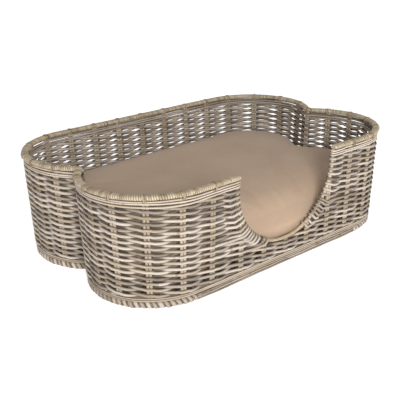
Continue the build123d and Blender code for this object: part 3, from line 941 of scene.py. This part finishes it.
def fill_out(cover):
    """Blows the fabric up a little with a short cloth simulation."""
    before = coords(cover)
    cloth = cover.modifiers.new("cloth", "CLOTH")
    settings = cloth.settings
    settings.quality = 5
    settings.mass = 0.3
    settings.use_pressure = True
    settings.uniform_pressure_force = 0.33
    settings.tension_stiffness = settings.compression_stiffness = 15
    settings.shear_stiffness = 5
    settings.bending_stiffness = 0.5
    settings.effector_weights.gravity = 0
    cloth.collision_settings.use_collision = False
    scene = bpy.context.scene
    cloth.point_cache.frame_start, cloth.point_cache.frame_end = 1, SIM_FRAMES
    for f in range(1, SIM_FRAMES + 1):
        scene.frame_set(f)
    settled = cover.evaluated_get(bpy.context.evaluated_depsgraph_get()).data
    after = np.empty(len(before) * 3)
    settled.vertices.foreach_get("co", after)
    move = after.reshape(-1, 3) - before
    cover.modifiers.clear()
    scene.frame_set(1)
    size = np.linalg.norm(move, axis=1, keepdims=True)
    print("cloth moved, mean and greatest, mm:", size.mean() / MM, size.max() / MM)
    set_coords(cover, before + move * np.minimum(1, SIM_REACH * MM / np.maximum(size, 1e-9)))


def dress(ob, material, slot, *stands_for):
    ob.data.materials.clear()
    ob.data.materials.append(material)
    ob.data.shade_smooth()
    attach(ob, "cushion")
    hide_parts(*stands_for)


def cushion():
    cover = pillow_mesh("cushion_fabric", 4.0, 0.0074)
    fill_out(cover)
    sub = cover.modifiers.new("sub", "SUBSURF")
    sub.levels = sub.render_levels = 1
    apply_modifiers(cover)
    set_coords(cover, fit_cushion(slump(coords(cover))))
    dress(cover, COTTON, "cover_cotton", "cushion_cover", "cushion_underside")
    pad = pillow_mesh("cushion_filling", 14.0, 0.02)
    set_coords(pad, slump(coords(pad)))
    dress(pad, FILLING, "fill_fibre", "cushion_pad")


def nearest_side(co):
    """How far each plan point lies inside the rim's edge, roughly, and the direction to the edge."""
    s = np.arange(0, TOTAL, 4.0)
    edge = plan(s, 0.0)
    out = outward(s)[:, :2]
    depth = np.empty(len(co))
    way = np.empty((len(co), 2))
    flat = co[:, :2] / MM
    for a in range(0, len(co), 4000):
        part = flat[a: a + 4000]
        d = np.linalg.norm(part[:, None, :] - edge[None], axis=2)
        k = d.argmin(1)
        depth[a: a + 4000] = ((edge[k] - part) * out[k]).sum(1)
        way[a: a + 4000] = out[k]
    return depth, way


def fit_cushion(co):
    """Keeps the filled cover inside the space the wall and the floor leave it, flat on the floor."""
    depth, way = nearest_side(co)
    over = np.maximum(CUSHION_IN - depth, 0)
    co = co.copy()
    co[:, :2] -= way * (over * MM)[:, None]
    low = (CUSHION_Z - 0.1) * MM
    co[:, 2] = np.maximum(co[:, 2], low)
    return co


# ---------------------------------------------------------------- build
weave()
long_rods()
rim()
lashings()
border()
floor()
cushion()

RODS = [
    "entry_hoop", "base_pole", "base_cross_rods", "base_long_rods", "stakes_front_left",
    "stakes_front_right", "stakes_notch", "stakes_back_left", "stakes_back", "stakes_back_right",
    "stakes_sill", "rim_core_front_left", "rim_core_back", "rim_core_front_right",
]
METALWORK = {"base_nails": NAIL, "rim_nails": NAIL, "zip_slider": ZIPPER, "zip_tape": TAPE}
for name, material in {**{rod: STAKE for rod in RODS}, **METALWORK}.items():
    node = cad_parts[name]
    node.data.materials.clear()
    node.data.materials.append(material)


# ---------------------------------------------------------------- floor, lights, camera
def ground():
    mesh = bpy.data.meshes.new("ground")
    r = 15.0
    mesh.from_pydata([(-r, -r, 0), (r, -r, 0), (r, r, 0), (-r, r, 0)], [], [(0, 1, 2, 3)])
    ob = bpy.data.objects.new("ground", mesh)
    bpy.context.scene.collection.objects.link(ob)
    material = bpy.data.materials.new("ground")
    material.use_nodes = True
    shader = material.node_tree.nodes["Principled BSDF"]
    shader.inputs["Base Color"].default_value = (0.86, 0.86, 0.86, 1)
    shader.inputs["Roughness"].default_value = 0.9
    shader.inputs["Emission Color"].default_value = (1, 1, 1, 1)
    shader.inputs["Emission Strength"].default_value = 0.64
    mesh.materials.append(material)


def area_light(name, place, target, size, power):
    light = bpy.data.lights.new(name, "AREA")
    light.shape = "DISK"
    light.size = size
    light.energy = power
    ob = bpy.data.objects.new(name, light)
    ob.location = place
    ob.rotation_euler = (Vector(target) - Vector(place)).to_track_quat("-Z", "Y").to_euler()
    bpy.context.scene.collection.objects.link(ob)


ground()
world = bpy.data.worlds.new("studio")
world.use_nodes = True
world.node_tree.nodes["Background"].inputs[0].default_value = (1, 1, 1, 1)
world.node_tree.nodes["Background"].inputs[1].default_value = 0.44
bpy.context.scene.world = world
area_light("key", (-1.8, -3.35, 1.55), (0, 0, 0.12), 1.5, 112)
bpy.context.scene.view_settings.view_transform = "Standard"

TARGET = Vector((0, 0, 0.1355))         # metres
AZ, EL, ROLL = math.radians(-40.317), math.radians(20.252), math.radians(-0.92)
DIST = 1.87836
SENSOR, LENS = 36.0, 62.784             # millimetres
eye = TARGET + DIST * Vector((math.cos(EL) * math.sin(AZ), -math.cos(EL) * math.cos(AZ), math.sin(EL)))
camera = bpy.data.objects.new("camera", bpy.data.cameras.new("camera"))
camera.data.sensor_width = SENSOR
camera.data.lens = LENS
camera.data.shift_x, camera.data.shift_y = -0.0214, -0.0466
turn = (TARGET - eye).to_track_quat("-Z", "Y").to_matrix() @ Matrix.Rotation(ROLL, 3, "Z")
camera.matrix_world = Matrix.Translation(eye) @ turn.to_4x4()
bpy.context.scene.collection.objects.link(camera)
bpy.context.scene.camera = camera
